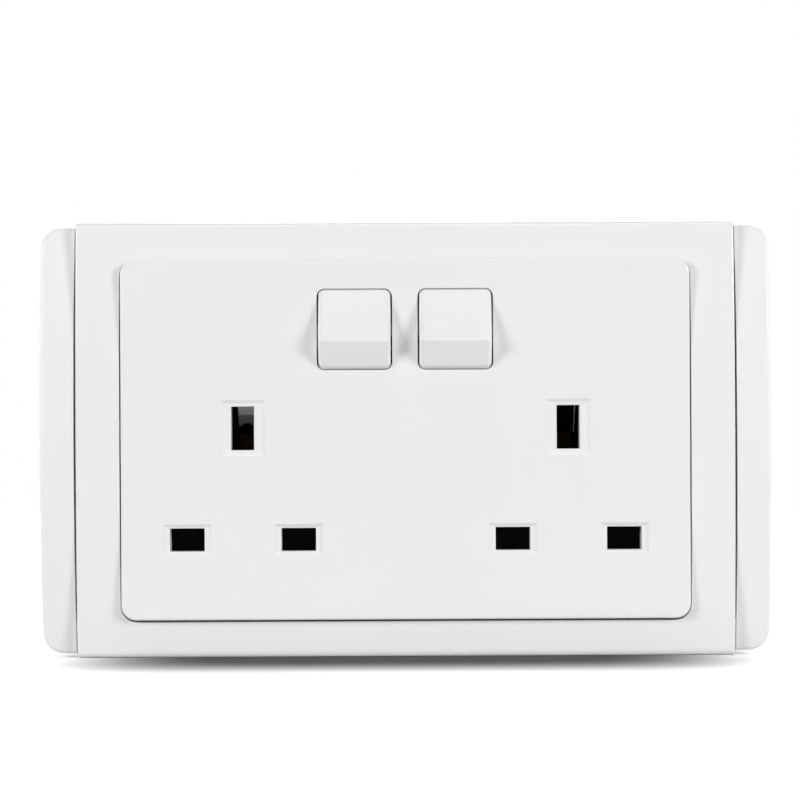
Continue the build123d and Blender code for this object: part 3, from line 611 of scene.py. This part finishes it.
def letter_mesh(name, body, x):
    """The letter's right goes to minus X, its top to Z and its front to Y, from the back face."""
    curve = bpy.data.curves.new(name, "FONT")
    curve.body = body
    curve.size = LETTER_SIZE
    curve.extrude = LETTER_RAISE
    curve.align_x = "CENTER"
    text = bpy.data.objects.new(name, curve)
    scene.collection.objects.link(text)
    bpy.context.view_layer.update()
    shape = text.evaluated_get(bpy.context.evaluated_depsgraph_get())
    mesh = bpy.data.meshes.new_from_object(shape)
    bpy.data.objects.remove(text)
    flat = np.empty(3 * len(mesh.vertices))
    mesh.vertices.foreach_get("co", flat)
    right, top, front = flat.reshape(-1, 3).T
    moved = np.stack((x - right, BACK + front, LETTER_ROW + top), axis=1)
    mesh.vertices.foreach_set("co", moved.ravel())
    mesh.materials.clear()
    shell = bmesh.new()
    shell.from_mesh(mesh)
    bmesh.ops.remove_doubles(shell, verts=shell.verts, dist=WELD)
    shell.to_mesh(mesh)
    shell.free()
    return mesh


for name, (body, x) in LETTERS.items():
    title = name + "_letter"
    placed(title, letter_mesh(title, body, x), "wall_body", WHITE)
print("letters:", " ".join(body for body, x in LETTERS.values()))

# %% [markdown]
# Four small springs work behind the face: two close the shutters and two push the plungers.
# The packed springs are stiff solids, so a mesh of the same size replaces each of them.
# The size could be typed in again, but reading it from the points keeps the two alike.

# %% Measure the packed springs
WIRE_RADIUS = 0.2 * MM
UP = np.array((0.0, 0.0, 1.0))


def measured_spring(node, along):
    """Lower end, length and radius of a packed spring, from its points along and across."""
    flat = np.empty(3 * len(nodes[node].data.vertices))
    nodes[node].data.vertices.foreach_get("co", flat)
    points = flat.reshape(-1, 3)
    height = points @ along
    across = points - height[:, None] * along
    middle = (across.min(axis=0) + across.max(axis=0)) / 2
    radius = np.linalg.norm(across - middle, axis=1).max() - WIRE_RADIUS
    return middle + height.min() * along, np.ptp(height), radius


_, spring_length, coil_radius = measured_spring("left_shutter_spring", UP)
print("shutter spring:", round(spring_length / MM, 2), "mm, coil", round(coil_radius / MM, 2), "mm")

# %% [markdown]
# A spring is wound from drawn wire, so it is a small circle carried along a helix.
# A Screw modifier could wind it, but its pitch is the same all the way.
# Worked out as an array, the coil gets the closed end turns of a real spring.

# %% Wind the wire
WIRE_STEPS = 10
TURN_STEPS = 28
END_TURNS = 0.8
END_PITCH = 0.43 * MM


def coil_rings(start, along, length, radius, turns):
    """Helix: radius times cosine and sine of the turn, with a slow rise in the end turns and
    an even one between. Wire: its own circle, from the way out of the coil and its axis."""
    side = np.array((1.0, 0.0, 0.0))
    front = np.cross(along, side)
    turn = np.linspace(0.0, turns, TURN_STEPS * turns + 1)
    end_rise = END_TURNS * END_PITCH
    knots = (0.0, END_TURNS, turns - END_TURNS, turns)
    low, high = WIRE_RADIUS, length - WIRE_RADIUS
    rise = np.interp(turn, knots, (low, low + end_rise, high - end_rise, high))
    angle = 2.0 * np.pi * turn[:, None]
    outward = np.cos(angle) * side + np.sin(angle) * front
    path = start + radius * outward + rise[:, None] * along
    round_wire = np.linspace(0.0, 2.0 * np.pi, WIRE_STEPS, endpoint=False)[None, :, None]
    wire = np.cos(round_wire) * outward[:, None, :] + np.sin(round_wire) * along
    return path[:, None, :] + WIRE_RADIUS * wire


def closed_tube(name, rings):
    """Each ring is joined to the next, and a fan round a middle point closes each end."""
    rows, columns = rings.shape[:2]
    index = np.arange(rows * columns).reshape(rows, columns)
    ahead = np.roll(index, -1, axis=1)
    quads = np.stack((index[:-1], ahead[:-1], ahead[1:], index[1:]), axis=-1).reshape(-1, 4)
    middles = np.full((2, columns), [[rows * columns], [rows * columns + 1]])
    first = np.stack((middles[0], ahead[0], index[0]), axis=-1)
    last = np.stack((middles[1], index[-1], ahead[-1]), axis=-1)
    fans = np.concatenate((first, last))
    points = np.concatenate((rings.reshape(-1, 3), rings[[0, -1]].mean(axis=1)))
    if signed_volume(points, np.concatenate((quads, fans[:, [0, 1, 2, 2]]))) < 0:
        quads, fans = quads[:, ::-1], fans[:, ::-1]
    mesh = bpy.data.meshes.new(name)
    mesh.from_pydata(points.tolist(), [], quads.tolist() + fans.tolist())
    mesh.polygons.foreach_set("use_smooth", np.ones(len(mesh.polygons), dtype=bool))
    mesh.update()
    return mesh


print("each turn of wire has", TURN_STEPS, "rings of", WIRE_STEPS, "points")

# %% [markdown]
# Here each coil is wound along its joint's axis, at the packed spring's length, and hung on its body.
# It doesn't shorten when the joint moves.

# %% Coil springs
SHUTTER_TURNS = 7
PLUNGER_TURNS = 4


def coil_spring(node, body, joint, turns):
    """Winds a coil along the joint's axis, as long as the packed spring, hangs it on a body and hides the packed
    one.
    """
    slide = next(j for j in frame["joints"] if j["name"] == joint)
    along = np.array(slide["axis"]) / np.linalg.norm(slide["axis"])
    start, length, radius = measured_spring(node, along)
    mesh = closed_tube(node + "_coil", coil_rings(start, along, length, radius, turns))
    spring = placed(node + "_coil", mesh, body, SPRING)
    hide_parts(node)
    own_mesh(spring)


for side in ("left", "right"):
    coil_spring(f"{side}_shutter_spring", "wall_body", f"{side}_shutter_slide", SHUTTER_TURNS)
    rocker = f"{side}_rocker_body"
    coil_spring(f"{side}_plunger_spring", rocker, f"{side}_plunger_slide", PLUNGER_TURNS)

# %% [markdown]
# The socket stands on a pale floor.
# For the rays that the camera sees it is brighter than white, so that open floor burns out
# and the shadow stays. For the light that bounces it is an ordinary floor.
# Bright studio light washes the shadow out, and an occlusion node would leave it grainy.
# So a shadow is painted into the floor's colour: it is darker close to the socket, by a smooth sum of distances.

# %% Floor finish
FLOOR_BOUNCE = 0.8
FLOOR_SEEN = 2.6
SHADOW_HALF = 81.0 * MM
SHADOW_FRONT = 5.5 * MM
SHADOW_BACK = 12.0 * MM
FRONT_REACH = 58.0 * MM
BACK_REACH = 36.0 * MM
SHADOW_RANGE = (0.1, 1.0)
SHADOW_LEVELS = (0.045, 0.8)
SIDE_POWER = 6.0
DEPTH_POWER = 3.0


def seen_rays(tree):
    """One for the rays that show the background: from the camera, in a mirror or through glass."""
    path = tree.nodes.new("ShaderNodeLightPath")
    total = path.outputs["Is Camera Ray"]
    for kind in ("Is Glossy Ray", "Is Transmission Ray"):
        either = tree.nodes.new("ShaderNodeMath")
        either.operation = "MAXIMUM"
        tree.links.new(total, either.inputs[0])
        tree.links.new(path.outputs[kind], either.inputs[1])
        total = either.outputs[0]
    return total


def pale_floor():
    """The shadow's distance is the square root of two terms: the share of its half width
    along X to the sixth power, and the share of its reach along Y cubed."""
    finish = Finish("pale_floor")
    finish.shader.inputs["Roughness"].default_value = 1.0
    finish.shader.inputs["Specular IOR Level"].default_value = 0.0
    x, y, _ = finish.axes()
    aside = finish.sum("DIVIDE", finish.sum("ABSOLUTE", x, 0.0), SHADOW_HALF)
    before = finish.sum("DIVIDE", finish.sum("ADD", y, SHADOW_FRONT), -FRONT_REACH)
    behind = finish.sum("DIVIDE", finish.sum("SUBTRACT", y, SHADOW_BACK), BACK_REACH)
    away = finish.sum("MAXIMUM", finish.sum("MAXIMUM", before, behind), 0.0)
    sideways = finish.sum("POWER", aside, SIDE_POWER)
    total = finish.sum("ADD", sideways, finish.sum("POWER", away, DEPTH_POWER))
    distance = finish.sum("POWER", total, SQUARE_ROOT)
    # Painted shadow: the floor's colour darkens towards the socket
    level = finish.step(distance, *SHADOW_RANGE, *SHADOW_LEVELS)
    shown = finish.add("ShaderNodeMapRange")
    shown.inputs["To Min"].default_value = FLOOR_BOUNCE
    finish.join(seen_rays(finish.tree), shown.inputs["Value"])
    finish.join(finish.sum("MULTIPLY", level, FLOOR_SEEN), shown.inputs["To Max"])
    finish.join(shown.outputs["Result"], finish.shader.inputs["Base Color"])
    return finish.material


PALE_FLOOR = pale_floor()
print("made", PALE_FLOOR.name)

# %% [markdown]
# The floor is one flat face at the height of the socket's lowest point.
# A curved backdrop could hide the horizon, but against a white sky none shows.
# It isn't part of the object.

# %% Floor
FLOOR_SIZE = 2.4


def flat_grid(name, size, height):
    """A square of one face: corners at plus and minus half the size, all at one height."""
    half = size / 2
    across, along = np.meshgrid((-half, half), (-half, half))
    corners = np.stack((across.ravel(), along.ravel(), np.full(4, height)), axis=1)
    mesh = bpy.data.meshes.new(name)
    mesh.from_pydata(corners.tolist(), [], [(0, 1, 3, 2)])
    obj = bpy.data.objects.new(name, mesh)
    scene.collection.objects.link(obj)
    return obj


floor = flat_grid("floor", FLOOR_SIZE, cad_low.z)
floor.data.materials.append(PALE_FLOOR)
print("floor at", round(cad_low.z / MM, 2), "mm")

# %% [markdown]
# The sky round the set gives a little plain light, and is white where it is seen.
# A picture of a studio could light the set, but it would also show in the gloss.
# A plain sky with two strengths keeps the background white without more light on the socket.

# %% World
WHITE_BACKGROUND = (1.0, 1.0, 1.0, 1.0)
SKY_LIGHT = 0.06
SKY_SEEN = 1.0


def pale_world():
    """A white sky whose strength is one where it is seen and low for the light it gives."""
    world = bpy.data.worlds.new("pale_studio")
    world.use_nodes = True
    tree = world.node_tree
    tree.nodes.clear()
    level = tree.nodes.new("ShaderNodeMapRange")
    level.inputs["To Min"].default_value = SKY_LIGHT
    level.inputs["To Max"].default_value = SKY_SEEN
    sky = tree.nodes.new("ShaderNodeBackground")
    sky.inputs["Color"].default_value = WHITE_BACKGROUND
    output = tree.nodes.new("ShaderNodeOutputWorld")
    tree.links.new(seen_rays(tree), level.inputs["Value"])
    tree.links.new(level.outputs["Result"], sky.inputs["Strength"])
    tree.links.new(sky.outputs["Background"], output.inputs["Surface"])
    return world


scene.world = pale_world()
print("sky gives", SKY_LIGHT, "and shows", SKY_SEEN)

# %% [markdown]
# Softboxes are easier to steer than a bright sky, so they give most of the light.
# Two at the sides draw the soft shadows beside the rockers.
# Two more stand level with the plate and reach only the rounded edges beside its flat front,
# so the edges of the plate and of the rockers turn white, as those of glossy plastic do.
# A weaker one high above, a little in front, lights the top edge, and a faint one fills the
# front. The last stands behind, so that the back of the housing can be seen too.

# %% Softboxes
# Each softbox: azimuth and elevation in degrees, distance and size in metres, share of light
SOFTBOXES = {
    "left_softbox": (-52.0, 16.0, 1.5, 0.48, 0.502),
    "right_softbox": (52.0, 16.0, 1.5, 0.48, 0.54),
    "left_edge_softbox": (-104.0, 12.0, 1.5, 0.9, 0.2),
    "right_edge_softbox": (104.0, 12.0, 1.5, 0.9, 0.2),
    "top_softbox": (0.0, 80.0, 1.3, 0.5, 0.15),
    "front_softbox": (0.0, 50.0, 1.6, 0.8, 0.02),
    "back_softbox": (170.0, 24.0, 1.5, 0.8, 0.58),
}


def softbox(name, azimuth, elevation, distance, size, share):
    """A square lamp aimed at the origin. Share is the light on a white card that faces it."""
    lamp = bpy.data.lights.new(name, "AREA")
    lamp.shape = "SQUARE"
    lamp.size = size
    lamp.energy = share * (math.pi * distance) ** 2
    turn = math.radians(azimuth)
    rise = math.radians(elevation)
    level = math.cos(rise)
    towards = Vector((math.sin(turn) * level, -math.cos(turn) * level, math.sin(rise)))
    obj = bpy.data.objects.new(name, lamp)
    obj.location = towards * distance
    obj.rotation_euler = towards.to_track_quat("Z", "Y").to_euler()
    scene.collection.objects.link(obj)


for name, setting in SOFTBOXES.items():
    softbox(name, *setting)
scene.view_settings.view_transform = "Standard"
print(len(SOFTBOXES), "softboxes:", ", ".join(SOFTBOXES))

# %% [markdown]
